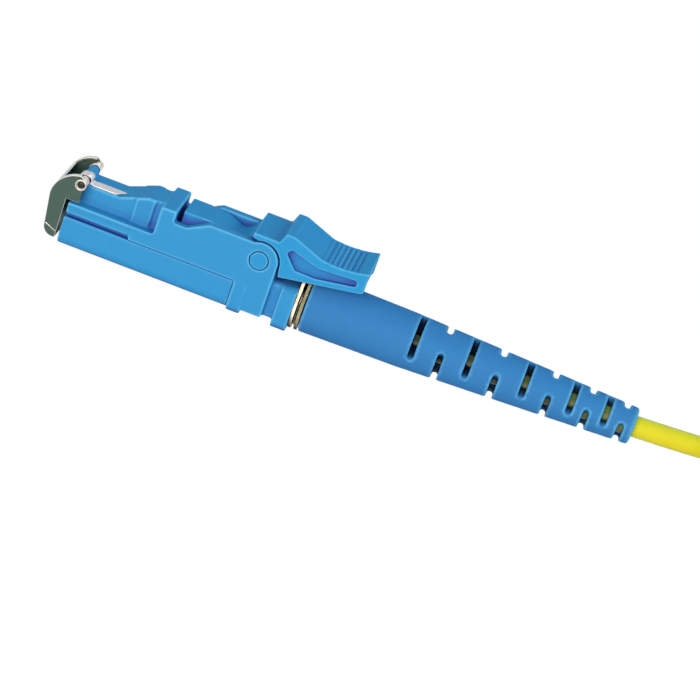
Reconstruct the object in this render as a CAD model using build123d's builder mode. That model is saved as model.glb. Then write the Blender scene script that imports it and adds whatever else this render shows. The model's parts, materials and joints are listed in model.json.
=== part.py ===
from build123d import *
import os
from math import cos, pi, radians, sin, sqrt, tan

# A simplex fibre optic patch cable with a shuttered, latching push-pull plug on each end.
# Each plug is built in its own frame: x runs from the housing's front face to the cable,
# z is up towards the latch lever and the ferrule's axis is y = z = 0. Both plugs are then
# placed in the row frame, whose origin is under the middle of the near plug, on the surface
# that the cable lies on. Sizes are in millimetres.

# Housing
housing_width = 6.6
housing_length = 23.15
split_height = 0.6
tail_length = 6.0
base_depth = 2.35
base_corner = 1.0
seam_chamfer = 0.12
ledge_height = 2.05
core_width = 3.8
core_height = 3.83
core_flat_length = 4.3
core_rise_end = 7.0
core_top = 4.9
block_start = 8.5
block_end = 10.05
block_top = 4.98
dip_height = 3.85
dip_end = 11.3
plate_rise_end = 13.35
plate_top = 4.95
plate_thickness = 1.1
channel_floor = 2.1
boss_start = 5.9
boss_end = 7.75
boss_proud = 0.25
rail_length = 6.4
rail_top = 1.78
rail_depth = 0.12
groove_top = 1.0
groove_depth = 0.45
top_slot_width = 0.35
top_slot_depth = 0.4
rib_length = 1.35
rib_proud = 0.12
rib_depth = 2.6
rib_height = 1.25
neck_depth = 1.95
neck_width = 5.5
neck_corner = 0.5
flange_length = 1.5
flange_depth = 2.65
flange_height = 1.85
flange_corner = 1.0

# Pivot of the latch lever
pivot_to_end = 4.4
pivot_z = 3.35
ear_radius = 1.85
ear_gap = 0.15
trunnion_radius = 0.88
pivot_clearance = 0.06

# Latch lever: places along x are counted from its pivot
lever_gap = 0.5
arm_side_gap = 0.1
arm_top = 4.93
arm_bottom = 3.1
arm_flat_length = 1.95
arm_waist_share = 0.22
arm_waist_top = 4.3
hub_radius = 1.2
crown_start = -1.25
crown_low = 5.4
crown_top = 5.85
pad_start = 1.3
pad_step = 0.4
pad_peak = 6.85
pad_peak_end = 2.55
grip_start = 5.55
grip_height = 5.7
grip_low_x = 7.25
grip_low = 5.58
pad_end = 10.2
pad_end_height = 6.0
pad_rear_low = 4.0
cheek_front_low = 2.5
cheek_rear_low = 3.85
cheek_thickness = 0.9
pad_thickness = 0.8
pocket_depth = 0.5
pocket_corner = 0.2
pocket_corners = [
    (2.25, 5.1),
    (2.65, 5.55),
    (5.45, 4.72),
    (9.35, 4.95),
    (9.35, 4.35),
    (5.45, 3.68),
    (3.45, 3.72),
]
grip_ribs = 7
grip_first = 6.0
grip_pitch = 0.5
grip_groove = 0.24
grip_depth = 0.16
grip_rim = 0.35
ramp_panel_depth = 0.1
lever_edge = 0.12

# Shutter
sheet = 0.2
shutter_front = 1.95
shutter_lean = 0.35
shutter_shoulder = 2.3
shutter_top = 4.95
shutter_top_end = 0.45
shutter_knee = -0.75
shutter_foot = -1.75
shutter_open = 3.7
shutter_rim = 0.6
leg_gap = 0.3
cheek_end = 1.0
cheek_step = 2.35
cheek_shoulder = 4.55
hinge_x = 0.65
hinge_z = 4.1
pin_radius = 0.28
pin_fit = 0.03
eye_clearance = 0.06
knuckle_radius = 0.5
leaf_start = 1.25
leaf_end = 4.7
leaf_point = 0.85
leaf_width = 1.3
leaf_thickness = 0.15
leaf_middle = -1.1

# Ferrule, its holder and its spring
mating_bore_radius = 1.95
mating_depth = 6.0
gate_clearance = 0.06
gate_length = 0.8
chamber_radius = 1.6
ferrule_radius = 1.25
ferrule_tip = 0.5
ferrule_length = 8.5
tip_chamfer = 0.25
holder_gap = 0.1
holder_length = 2.6
slide_clearance = 0.05
ferrule_travel = 0.8
spring_radius = 1.25
spring_wire = 0.3
spring_pitch = 1.2
spring_gap = 0.05
buffer_radius = 0.45
buffer_clearance = 0.1
buffer_reach = 2.0

# Crimp body and sleeve
stop_length = 8.55
rear_bore_radius = 1.45
seat_gap = 0.02
collar_length = 0.95
collar_radius = 2.85
collar_groove = 0.25
collar_groove_depth = 0.35
barrel_length = 6.9
barrel_radius = 1.4
sleeve_offset = 0.9
sleeve_step = 0.3
sleeve_neck_length = 2.7
sleeve_wall = 0.4

# Boot
boot_gap = 0.1
boot_length = 32.9
boot_start_radius = 2.9
shoulder_length = 10.2
shoulder_radius = 2.74
middle_length = 22.0
middle_radius = 2.27
boot_end_radius = 1.8
boot_cavity_space = 0.4
boot_cavity_gap = 0.25
boot_bore_gap = 0.25
boot_mouth_gap = 0.02
boot_mouth_length = 0.8
slot_width = 0.6
slot_half_angle = 64
slot_roll = 44
slot_land = 0.7
end_land = 0.9
slot_pitches = [2.7, 2.7, 2.8, 2.8, 2.5, 2.2, 1.6, 1.8, 1.7]
lip_chamfer = 0.2

# Cable
cable_diameter = 2.1
cable_radius = cable_diameter / 2
mouth_depth = 0.5

# Hank of spare cable, lying beyond the near plug in line with it
hank_turns_wide = 3
hank_layers = 2
hank_left = 41.0
hank_run = 40.2
hank_inner_radius = 6.3
lead_y = 5.1
tie_thickness = 0.35
tie_corner = 0.3
tie_width = 3.0
tie_places = [-9.0, 9.0]

# Places of the two plugs
hank_to_plug = 6.5
far_plug_y = 3.2

half_width = housing_width / 2
base_length = housing_length - tail_length
pivot_x = housing_length - pivot_to_end
inner_plate = half_width - plate_thickness
beyond = 20
pivot = (pivot_x, pivot_z)
hinge = (hinge_x, hinge_z)
core_slope = (core_top - core_height) / (core_rise_end - core_flat_length)
eye_radius = pin_radius + eye_clearance
gate_end = mating_depth + gate_length
holder_start = gate_end + holder_gap
holder_end = holder_start + holder_length
stop_start = housing_length - stop_length
collar_end = housing_length + collar_length
barrel_end = collar_end + barrel_length
sleeve_start = collar_end + sleeve_offset
sleeve_radius = barrel_radius + sleeve_wall
sleeve_neck = barrel_end + sleeve_step
sleeve_end = sleeve_neck + sleeve_neck_length
boot_start = collar_end + boot_gap
boot_end = boot_start + boot_length
boot_cavity_end = sleeve_end + boot_cavity_space
plug_middle = (boot_end - shutter_front) / 2
axis_height = boot_start_radius
buffer_end = sleeve_neck + buffer_reach
stub_bore_end = buffer_end + ferrule_travel + buffer_clearance


def turned(points):
    """A ring or bar turned about the ferrule's axis from (x, radius) points."""
    with BuildPart() as ring:
        with BuildSketch(Plane.XY):
            with BuildLine():
                Polyline(*points, close=True)
            make_face()
        revolve(axis=Axis.X)
    return ring.part


def tube(radius, bore, start, end):
    """A plain tube on the ferrule's axis."""
    return turned([(start, bore), (start, radius), (end, radius), (end, bore)])


# Base of the housing: the trough that closes the frame from below
with BuildPart() as housing_base:
    with BuildSketch(Plane.YZ):
        with Locations((0, (split_height - base_depth) / 2)):
            Rectangle(housing_width, split_height + base_depth)
    extrude(amount=base_length)
    long_edges = housing_base.edges().filter_by(Axis.X).group_by(Axis.Z)
    fillet(long_edges[0], base_corner)
    chamfer(long_edges[-1], seam_chamfer)
    for radius, depth in (
        (mating_bore_radius, mating_depth),
        (ferrule_radius + gate_clearance, gate_end),
    ):
        with BuildSketch(Plane.YZ):
            Circle(radius)
        extrude(amount=depth, mode=Mode.SUBTRACT)
    with BuildSketch(Plane.YZ.offset(gate_end)):
        Circle(chamber_radius)
    extrude(amount=base_length, mode=Mode.SUBTRACT)

# Frame of the housing: core, latch block, side plates with the pivot ears, neck and flange
with BuildPart() as housing_frame:
    ear_front = pivot_x - sqrt(ear_radius**2 - (plate_top - pivot_z) ** 2)
    ear_back = pivot_x + ear_radius
    with BuildSketch(Plane.XZ):
        with BuildLine():
            side = Polyline(
                (ear_back, pivot_z),
                (ear_back, -neck_depth),
                (base_length, -neck_depth),
                (base_length, split_height),
                (0, split_height),
                (0, ledge_height),
                (block_start, ledge_height),
                (block_start, block_top),
                (block_end, block_top),
                (block_end, dip_height),
                (dip_end, dip_height),
                (plate_rise_end, plate_top),
                (ear_front, plate_top),
            )
            ThreePointArc(side @ 1, (pivot_x, pivot_z + ear_radius), side @ 0)
        make_face()
    extrude(amount=half_width, both=True)
    # Channel that the lever's arm lies in
    with BuildSketch(Plane.XY.offset(channel_floor)):
        with Locations(((block_end + ear_back + neck_corner) / 2, 0)):
            Rectangle(ear_back + neck_corner - block_end, 2 * inner_plate)
    extrude(amount=beyond, mode=Mode.SUBTRACT)
    # Core in front of the latch block, rising to the block's height, and its side boss
    with BuildSketch(Plane.XZ):
        with BuildLine():
            Polyline(
                (0, ledge_height),
                (0, core_height),
                (core_flat_length, core_height),
                (core_rise_end, core_top),
                (block_start, core_top),
                (block_start, ledge_height),
                close=True,
            )
        make_face()
    extrude(amount=core_width / 2, both=True)
    with BuildSketch(Plane.XZ):
        with BuildLine():
            Polyline(
                (boss_start, ledge_height),
                (boss_start, core_height + (boss_start - core_flat_length) * core_slope),
                (core_rise_end, core_top),
                (boss_end, core_top),
                (boss_end, ledge_height),
                close=True,
            )
        make_face()
    extrude(amount=core_width / 2 + boss_proud, both=True)
    # Knuckle that holds the shutter's pin
    with BuildSketch(Plane.XZ):
        with Locations(hinge):
            Circle(knuckle_radius)
        with Locations((hinge_x, (core_height + hinge_z) / 2)):
            Rectangle(2 * knuckle_radius, hinge_z - core_height)
    extrude(amount=core_width / 2, both=True)
    # Rib, neck and flange behind the base
    with BuildSketch(Plane.YZ.offset(base_length)):
        with Locations((0, (rib_height - rib_depth) / 2)):
            RectangleRounded(housing_width + 2 * rib_proud, rib_height + rib_depth, base_corner)
    extrude(amount=rib_length)
    with BuildSketch(Plane.YZ.offset(base_length)):
        with Locations((0, (flange_height - neck_depth) / 2)):
            RectangleRounded(neck_width, flange_height + neck_depth, neck_corner)
    extrude(amount=housing_length - base_length)
    with BuildSketch(Plane.YZ.offset(housing_length - flange_length)):
        with Locations((0, (flange_height - flange_depth) / 2)):
            RectangleRounded(housing_width, flange_height + flange_depth, flange_corner)
    extrude(amount=flange_length)
    # Guide rail along each side: a shallow field with a deeper groove below it
    for top, depth in ((rail_top, rail_depth), (groove_top, groove_depth)):
        with BuildSketch(Plane.XY.offset(split_height)):
            with Locations((rail_length / 2, half_width), (rail_length / 2, -half_width)):
                Rectangle(rail_length, 2 * depth)
        extrude(amount=top - split_height, mode=Mode.SUBTRACT)
    # Slot beside the leaf spring in the core's top
    with BuildSketch(Plane.XY.offset(core_height - top_slot_depth)):
        with Locations(((leaf_start + leaf_end) / 2, leaf_middle + (leaf_width + top_slot_width) / 2)):
            Rectangle(leaf_end - leaf_start, top_slot_width)
    extrude(amount=2 * top_slot_depth, mode=Mode.SUBTRACT)
    # Bores for the mating part, the ferrule, its spring and the crimp body
    for radius, depth in (
        (mating_bore_radius, mating_depth),
        (ferrule_radius + gate_clearance, gate_end),
        (rear_bore_radius, housing_length),
    ):
        with BuildSketch(Plane.YZ):
            Circle(radius)
        extrude(amount=depth, mode=Mode.SUBTRACT)
    with BuildSketch(Plane.YZ.offset(gate_end)):
        Circle(chamber_radius)
    extrude(amount=base_length - gate_end, mode=Mode.SUBTRACT)
    # Bores of the two hinges
    with BuildSketch(Plane.XZ):
        with Locations(pivot):
            Circle(trunnion_radius + pivot_clearance)
        with Locations(hinge):
            Circle(pin_radius + pin_fit)
    extrude(amount=half_width, both=True, mode=Mode.SUBTRACT)

# Latch lever: a rocker with a catch arm in front of the pivot and a hollow thumb pad behind it
with BuildPart() as latch_lever:
    arm_width = 2 * (inner_plate - arm_side_gap)
    arm_start = block_end + lever_gap
    arm_flat_end = arm_start + arm_flat_length
    arm_waist_x = pivot_x + crown_start - arm_waist_share * (pivot_x + crown_start - arm_flat_end)
    clear_radius = ear_radius + ear_gap
    arc_start = (pivot_x - clear_radius * sin(radians(20)), pivot_z + clear_radius * cos(radians(20)))
    arc_middle = (pivot_x + clear_radius * sin(radians(35)), pivot_z + clear_radius * cos(radians(35)))
    arc_end = (pivot_x + clear_radius, pivot_z)
    with BuildSketch(Plane.XZ) as pad_view:
        with BuildLine():
            top = Polyline(
                (pivot_x + pad_end, pad_rear_low),
                (pivot_x + pad_end - 2 * lever_edge, cheek_rear_low),
                (arc_end[0] + ear_gap, cheek_front_low),
                arc_end,
            )
            ThreePointArc(arc_end, arc_middle, arc_start)
            front = Polyline(
                arc_start,
                (pivot_x + crown_start, crown_low),
                (pivot_x + crown_start, crown_top),
                (pivot_x + pad_start, crown_top),
                (pivot_x + pad_start + pad_step, pad_peak),
                (pivot_x + pad_peak_end, pad_peak),
                (pivot_x + grip_start, grip_height),
            )
            grip = ThreePointArc(
                front @ 1, (pivot_x + grip_low_x, grip_low), (pivot_x + pad_end, pad_end_height)
            )
            Line(grip @ 1, top @ 0)
        make_face()
    extrude(amount=half_width, both=True)
    # Hollow under the thumb pad
    with BuildSketch(Plane.XZ):
        with BuildLine():
            Polyline(
                (ear_back + cheek_thickness, -beyond),
                (ear_back + cheek_thickness, pad_peak - 2 * pad_thickness),
                (pivot_x + grip_start, grip_height - pad_thickness),
                (pivot_x + grip_low_x, grip_low - pad_thickness),
                (pivot_x + pad_end + pad_thickness, grip_low - pad_thickness),
                (pivot_x + pad_end + pad_thickness, -beyond),
                close=True,
            )
        make_face()
    extrude(amount=half_width - cheek_thickness, both=True, mode=Mode.SUBTRACT)
    # Catch arm and hub between the side plates
    with BuildSketch(Plane.XZ):
        with BuildLine():
            rise = Line((arm_flat_end, arm_top), (arm_start, arm_top))
            drop = Polyline(
                rise @ 1,
                (arm_start, arm_bottom),
                (pivot_x, arm_bottom - lever_edge),
                (pivot_x, crown_top),
                (pivot_x + crown_start, crown_top),
            )
            Spline(
                drop @ 1,
                (arm_waist_x, arm_waist_top),
                rise @ 0,
                tangents=((-0.2, -1), (-1, 0)),
            )
        make_face()
        with Locations(pivot):
            Circle(hub_radius)
        with Locations((pivot_x + clear_radius / 2, (pivot_z + crown_top) / 2)):
            Rectangle(clear_radius, crown_top - pivot_z)
    extrude(amount=arm_width / 2, both=True)
    with BuildSketch(Plane.XZ):
        with Locations(pivot):
            Circle(trunnion_radius)
    extrude(amount=half_width, both=True)
    # Pocket in each cheek
    with BuildSketch(Plane.XZ.offset(half_width)) as pocket:
        with BuildLine():
            Polyline(*[(pivot_x + x, z) for x, z in pocket_corners], close=True)
        make_face()
        fillet(pocket.vertices(), pocket_corner)
    near_pocket = extrude(amount=-pocket_depth, mode=Mode.PRIVATE)
    add(near_pocket, mode=Mode.SUBTRACT)
    mirror(near_pocket, about=Plane.XZ, mode=Mode.SUBTRACT)
    # Shallow field on the ramp in front of the grip
    with BuildSketch(Plane.XZ):
        with BuildLine():
            Polyline(
                (pivot_x + pad_peak_end, pad_peak),
                (pivot_x + pad_peak_end + grip_rim, pad_peak),
                (pivot_x + grip_start, grip_height + ramp_panel_depth),
                (pivot_x + grip_start, grip_height - ramp_panel_depth),
                (pivot_x + pad_peak_end, pad_peak - ramp_panel_depth),
                close=True,
            )
        make_face()
    extrude(amount=half_width - grip_rim, both=True, mode=Mode.SUBTRACT)
    # Grooves across the thumb pad
    with BuildSketch(Plane.XZ):
        for rib in range(grip_ribs):
            across = grip_first + rib * grip_pitch
            away = (across - grip_low_x) / (pad_end - grip_low_x)
            height = grip_low + (pad_end_height - grip_low) * away**2
            with Locations((pivot_x + across, height)):
                Rectangle(grip_groove, 2 * grip_depth)
    extrude(amount=half_width - grip_rim, both=True, mode=Mode.SUBTRACT)

def hood_curve(inset):
    """Front of the shutter's side view, from its foot over the shoulder to the end of its top."""
    foot = (-leg_gap, shutter_foot + inset)
    knee = (shutter_lean - shutter_front + inset, shutter_knee)
    shoulder = (inset - shutter_front, shutter_shoulder)
    crest = (shutter_top_end, shutter_top - inset)
    TangentArc(knee, foot, tangent=(0, -1))
    Line(knee, shoulder)
    TangentArc(shoulder, crest, tangent=(0, 1))
    return foot, crest


# Shutter: a folded hood of sheet metal over the mating face, hinged above it
with BuildPart() as shutter:
    with BuildSketch(Plane.XZ):
        with BuildLine():
            foot, crest = hood_curve(0)
            Polyline(
                crest, (cheek_end, cheek_shoulder), (cheek_end, cheek_step), (-leg_gap, cheek_step), foot
            )
        make_face()
    extrude(amount=half_width, both=True)
    with BuildSketch(Plane.XZ):
        with BuildLine():
            foot, crest = hood_curve(sheet)
            Polyline(crest, (crest[0], beyond), (beyond, beyond), (beyond, foot[1]), foot)
        make_face()
    extrude(amount=half_width - sheet, both=True, mode=Mode.SUBTRACT)
    # Opening between the rims that are folded over along the tops of the two cheeks
    with BuildSketch(Plane.XY.offset(shutter_open)):
        Rectangle(2 * shutter_front, 2 * (half_width - shutter_rim))
    extrude(amount=beyond, mode=Mode.SUBTRACT)
    with BuildSketch(Plane.XZ):
        with Locations(hinge):
            Circle(eye_radius)
    extrude(amount=half_width, both=True, mode=Mode.SUBTRACT)

# Pin of the shutter, and the leaf spring that holds it shut
with BuildPart() as shutter_pin:
    with BuildSketch(Plane.XZ):
        with Locations(hinge):
            Circle(pin_radius)
    extrude(amount=half_width, both=True)

with BuildPart() as leaf_spring:
    with BuildSketch(Plane.XY.offset(core_height)):
        with BuildLine():
            Polyline(
                (leaf_start, leaf_middle - leaf_width / 2),
                (leaf_start, leaf_middle + leaf_width / 2),
                (leaf_end, leaf_middle + leaf_width / 2),
                (leaf_end - leaf_point, leaf_middle - leaf_width / 2),
                close=True,
            )
        make_face()
    extrude(amount=leaf_thickness)

# Ferrule with its chamfered tip, the holder that it is pressed into, and the spring behind them
ferrule_end = ferrule_tip + ferrule_length
ferrule = turned(
    [
        (ferrule_tip, 0),
        (ferrule_tip, ferrule_radius - tip_chamfer),
        (ferrule_tip + tip_chamfer, ferrule_radius),
        (ferrule_end, ferrule_radius),
        (ferrule_end, 0),
    ]
)
ferrule_holder = turned(
    [
        (holder_start, ferrule_radius),
        (holder_start, chamber_radius - slide_clearance),
        (holder_end, chamber_radius - slide_clearance),
        (holder_end, buffer_radius),
        (ferrule_end, buffer_radius),
        (ferrule_end, ferrule_radius),
    ]
)
spring_start = holder_end + spring_gap
spring_length = stop_start - spring_gap - spring_start
spring_turns = max(1, round((spring_length - spring_wire) / spring_pitch))
with BuildPart() as ferrule_spring:
    with BuildLine() as wire:
        Helix(
            pitch=(spring_length - spring_wire) / spring_turns,
            height=spring_length - spring_wire,
            radius=spring_radius,
            center=(spring_start + spring_wire / 2, 0, 0),
            direction=(1, 0, 0),
        )
    with BuildSketch(wire.line ^ 0):
        Rectangle(spring_wire, spring_wire)
    sweep()

# Buffered fibre from the ferrule through the crimp body into the cable
buffer = tube(buffer_radius, 0, ferrule_end, buffer_end)

# Crimp body: spring stop, ridged collar and barrel in one turned piece
buffer_bore = buffer_radius + buffer_clearance
collar_middle = housing_length + collar_length / 2
crimp_body = turned(
    [
        (stop_start, buffer_bore),
        (stop_start, rear_bore_radius - seat_gap),
        (housing_length, rear_bore_radius - seat_gap),
        (housing_length, collar_radius),
        (collar_middle - collar_groove / 2, collar_radius),
        (collar_middle - collar_groove / 2, collar_radius - collar_groove_depth),
        (collar_middle + collar_groove / 2, collar_radius - collar_groove_depth),
        (collar_middle + collar_groove / 2, collar_radius),
        (collar_end, collar_radius),
        (collar_end, barrel_radius),
        (barrel_end, barrel_radius),
        (barrel_end, buffer_bore),
    ]
)
crimp_sleeve = turned(
    [
        (sleeve_start, barrel_radius),
        (sleeve_start, sleeve_radius),
        (barrel_end, sleeve_radius),
        (sleeve_neck, cable_radius + sleeve_wall),
        (sleeve_end, cable_radius + sleeve_wall),
        (sleeve_end, cable_radius),
        (sleeve_neck, cable_radius),
        (barrel_end, barrel_radius),
    ]
)
cable_stub = turned(
    [
        (sleeve_neck, buffer_bore),
        (sleeve_neck, cable_radius),
        (boot_end - mouth_depth, cable_radius),
        (boot_end - mouth_depth, 0),
        (stub_bore_end, 0),
        (stub_bore_end, buffer_bore),
    ]
)

# Boot: a tapering strain relief, cut by slots in pairs that leave two struts each time
with BuildPart() as boot:
    cavity_radius = sleeve_radius + boot_cavity_gap
    bore_radius = cable_radius + boot_bore_gap
    mouth_radius = cable_radius + boot_mouth_gap
    with BuildSketch(Plane.XY):
        with BuildLine():
            taper = Polyline(
                (boot_start, boot_start_radius),
                (boot_start + shoulder_length, shoulder_radius),
                (boot_start + middle_length, middle_radius),
                (boot_end, boot_end_radius),
            )
            Polyline(
                taper @ 1,
                (boot_end, mouth_radius),
                (boot_end - boot_mouth_length, mouth_radius),
                (boot_end - boot_mouth_length, bore_radius),
                (boot_cavity_end, bore_radius),
                (boot_cavity_end, cavity_radius),
                (boot_start, cavity_radius),
                taper @ 0,
            )
        make_face()
    revolve(axis=Axis.X)
    rear_rim = boot.edges().filter_by(GeomType.CIRCLE).group_by(Axis.X)[-1].sort_by(SortBy.RADIUS)[-1]
    chamfer(rear_rim, lip_chamfer)
    station = boot_cavity_end + slot_land
    for turn, pitch in enumerate([*slot_pitches, 0]):
        if station > boot_end - end_land:
            break
        rise = (station - boot_start) / boot_length
        local_radius = boot_start_radius + (boot_end_radius - boot_start_radius) * rise
        strut = local_radius * cos(radians(slot_half_angle))
        roll = radians(slot_roll + 90 * turn)
        slot_length = 2 * boot_start_radius
        with BuildSketch(
            Plane((station, 0, 0), x_dir=(0, -sin(roll), cos(roll)), z_dir=(0, cos(roll), sin(roll)))
        ):
            with Locations((strut + slot_length / 2, 0), (-strut - slot_length / 2, 0)):
                Rectangle(slot_length, slot_width)
        extrude(amount=slot_length, both=True, mode=Mode.SUBTRACT)
        station += pitch

# Free cable: from the near plug to the hank, and from the hank to the far plug
lead_start = boot_end - mouth_depth - plug_middle
hank_outer_radius = hank_inner_radius + (hank_turns_wide - 1) * cable_diameter
hank_middle_y = lead_y - hank_outer_radius
hank_half_length = hank_run / 2 + hank_outer_radius + cable_radius
hank_middle_x = hank_left + hank_half_length
hank_right = hank_left + 2 * hank_half_length
low_z = tie_thickness + cable_radius
high_z = low_z + (hank_layers - 1) * cable_diameter
far_plug_boot = hank_right + hank_to_plug
far_mouth = far_plug_boot + mouth_depth
lead_route = [
    (lead_start, 0, axis_height),
    (34.2, 0.6, axis_height),
    (39.2, 2.3, 2.7),
    (44.3, 4.0, 2.1),
    (49.6, lead_y - 0.1, low_z + 0.1),
    (55.5, lead_y, low_z),
]
tail_route = [
    (hank_right - 17.0, lead_y, high_z),
    (hank_right - 11.0, lead_y, high_z),
    (hank_right - 5.5, lead_y - 0.5, high_z - 0.1),
    (hank_right + 0.5, far_plug_y + 0.3, axis_height),
    (far_mouth, far_plug_y, axis_height),
]


def cable_run(route):
    """A stretch of cable along straight runs joined by arcs, each as large as its runs allow."""
    points = [Vector(*point) for point in route]
    radii = []
    for before, corner, after in zip(points, points[1:], points[2:]):
        turn = (corner - before).get_angle(after - corner)
        shorter = min((corner - before).length, (after - corner).length)
        radii.append(0.45 * shorter / tan(radians(turn / 2)))
    print("bend radii", [round(radius, 1) for radius in radii])
    with BuildPart() as run:
        with BuildLine() as path:
            FilletPolyline(*points, radius=radii)
        with BuildSketch(path.line ^ 0):
            Circle(cable_radius)
        sweep()
    length = path.wires()[0].length
    print("length", round(length, 2), "volume ratio", run.part.volume / (pi * cable_radius**2 * length))
    return run.part


cable_lead = cable_run(lead_route)
cable_tail = cable_run(tail_route)

# Hank: the outer shape of its turns, a flat ring with straight sides
with BuildPart() as cable_hank:
    outer = hank_outer_radius + cable_radius
    inner = hank_inner_radius - cable_radius
    with BuildSketch(Plane.XY.offset(tie_thickness)):
        with Locations((hank_middle_x, hank_middle_y)):
            SlotOverall(hank_run + 2 * outer, 2 * outer)
            SlotOverall(hank_run + 2 * inner, 2 * inner, mode=Mode.SUBTRACT)
    extrude(amount=hank_layers * cable_diameter)
    rims = cable_hank.edges().group_by(Axis.Z)
    chamfer([*rims[0], *rims[-1]], cable_radius / 2)


def hank_tie(side, place):
    """A band wrapped round one long side of the hank."""
    bundle_width = hank_turns_wide * cable_diameter
    bundle_height = hank_layers * cable_diameter
    middle = hank_middle_y + side * (hank_inner_radius + hank_outer_radius) / 2
    with BuildPart() as band:
        with BuildSketch(Plane.YZ.offset(hank_middle_x + place - tie_width / 2)):
            with Locations((middle, tie_thickness + bundle_height / 2)):
                RectangleRounded(
                    bundle_width + 2 * tie_thickness,
                    bundle_height + 2 * tie_thickness,
                    tie_corner,
                )
                Rectangle(bundle_width, bundle_height, mode=Mode.SUBTRACT)
        extrude(amount=tie_width)
    return band.part


near_place = Location((-plug_middle, 0, axis_height))
far_place = Location((far_plug_boot + boot_end, far_plug_y, axis_height), (0, 0, 180))
plug_pieces = {
    "housing_base": housing_base.part,
    "housing_frame": housing_frame.part,
    "latch_lever": latch_lever.part,
    "shutter": shutter.part,
    "shutter_pin": shutter_pin.part,
    "leaf_spring": leaf_spring.part,
    "ferrule": ferrule,
    "ferrule_holder": ferrule_holder,
    "ferrule_spring": ferrule_spring.part,
    "buffer": buffer,
    "crimp_body": crimp_body,
    "crimp_sleeve": crimp_sleeve,
    "boot": boot.part,
    "cable_stub": cable_stub,
}
cord_pieces = {
    "cable_lead": cable_lead,
    "cable_hank": cable_hank.part,
    "cable_tail": cable_tail,
    "hank_tie_near": hank_tie(-1, tie_places[0]),
    "hank_tie_far": hank_tie(1, tie_places[1]),
}

os.makedirs("parts", exist_ok=True)
for prefix, place in (("", near_place), ("far_", far_place)):
    for name, piece in plug_pieces.items():
        placed = piece.moved(place)
        placed.label = prefix + name
        export_step(placed, f"parts/{prefix}{name}.step")
for name, piece in cord_pieces.items():
    piece.label = name
    export_step(piece, f"parts/{name}.step")
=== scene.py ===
# %% [markdown]
# # A shuttered fibre optic patch cable
# The cable carries a blue push-pull plug on each end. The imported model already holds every
# piece at its real size, so this lesson only dresses it: it rounds the moulded edges, lays the
# cable as one smooth curve, gives each surface its finish and sets up the camera and lights.

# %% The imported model
import json
from math import atan2, cos, pi, radians, sin, tau

import bmesh
import bpy
from mathutils import Matrix, Vector


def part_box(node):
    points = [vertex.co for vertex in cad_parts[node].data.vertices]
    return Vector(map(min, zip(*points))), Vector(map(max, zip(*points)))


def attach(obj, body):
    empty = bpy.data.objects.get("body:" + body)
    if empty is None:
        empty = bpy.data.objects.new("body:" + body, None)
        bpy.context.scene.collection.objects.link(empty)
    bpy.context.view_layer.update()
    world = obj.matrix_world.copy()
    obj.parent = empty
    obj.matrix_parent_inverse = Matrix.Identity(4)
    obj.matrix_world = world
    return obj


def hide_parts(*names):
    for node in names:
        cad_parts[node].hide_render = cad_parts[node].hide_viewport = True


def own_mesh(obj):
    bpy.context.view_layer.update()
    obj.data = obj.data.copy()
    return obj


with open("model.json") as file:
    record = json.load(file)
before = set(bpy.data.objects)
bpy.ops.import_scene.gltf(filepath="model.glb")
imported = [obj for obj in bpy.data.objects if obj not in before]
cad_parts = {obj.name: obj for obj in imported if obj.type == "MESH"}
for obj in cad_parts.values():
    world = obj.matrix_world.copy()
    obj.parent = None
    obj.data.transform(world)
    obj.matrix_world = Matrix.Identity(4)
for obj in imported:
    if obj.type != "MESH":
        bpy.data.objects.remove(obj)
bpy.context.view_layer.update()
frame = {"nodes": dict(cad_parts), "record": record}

mm = 0.001
nodes = frame["nodes"]
body_of = {node: body for body, group in frame["record"]["behaviour"]["bodies"].items() for node in group}
plugs = ("", "far_")

# %% [markdown]
# ## Camera
# The photograph looks at the plug from its side and a little from above, with the camera
# rolled so that the cable runs down to the right. The angles and the distance were found by
# matching known corners of the plug, so they are written here as plain measurements.

# %% Camera
photo_width = 700
focal_pixels = 3000
view_azimuth = radians(2.432)
view_elevation = radians(22.22)
view_roll = radians(20.023)
view_distance = 284.05 * mm
view_target = Vector((3.0, 0, 3.0)) * mm
view_offset = Vector((-2.03, -2.363, 0)) * mm

camera = bpy.data.objects.new("camera", bpy.data.cameras.new("camera"))
bpy.context.scene.collection.objects.link(camera)
camera.data.sensor_width = 36
camera.data.lens = camera.data.sensor_width * focal_pixels / photo_width
camera.data.clip_start = 10 * mm
turn = (
    Matrix.Rotation(view_azimuth, 3, "Z")
    @ Matrix.Rotation(radians(90) - view_elevation, 3, "X")
    @ Matrix.Rotation(view_roll, 3, "Z")
)
camera_place = view_target + turn @ (view_offset + Vector((0, 0, view_distance)))
camera.matrix_world = Matrix.Translation(camera_place) @ turn.to_4x4()
bpy.context.scene.camera = camera
print("camera at", [round(c / mm, 1) for c in camera_place], "mm")

# %% [markdown]
# ## Cable
# The cable is one metre long between the plugs' tips and 2.1 mm thick, and its jacket is
# stiff enough to lie in wide curves. A NURBS spline follows control points without passing
# through them, which gives such curves with few points. It leaves the near plug straight,
# comes down to the surface and takes six turns of a flat hank. The last strand lies in the
# groove on top of the others, goes over the tie in a low hump and ends in the far plug.

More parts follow.
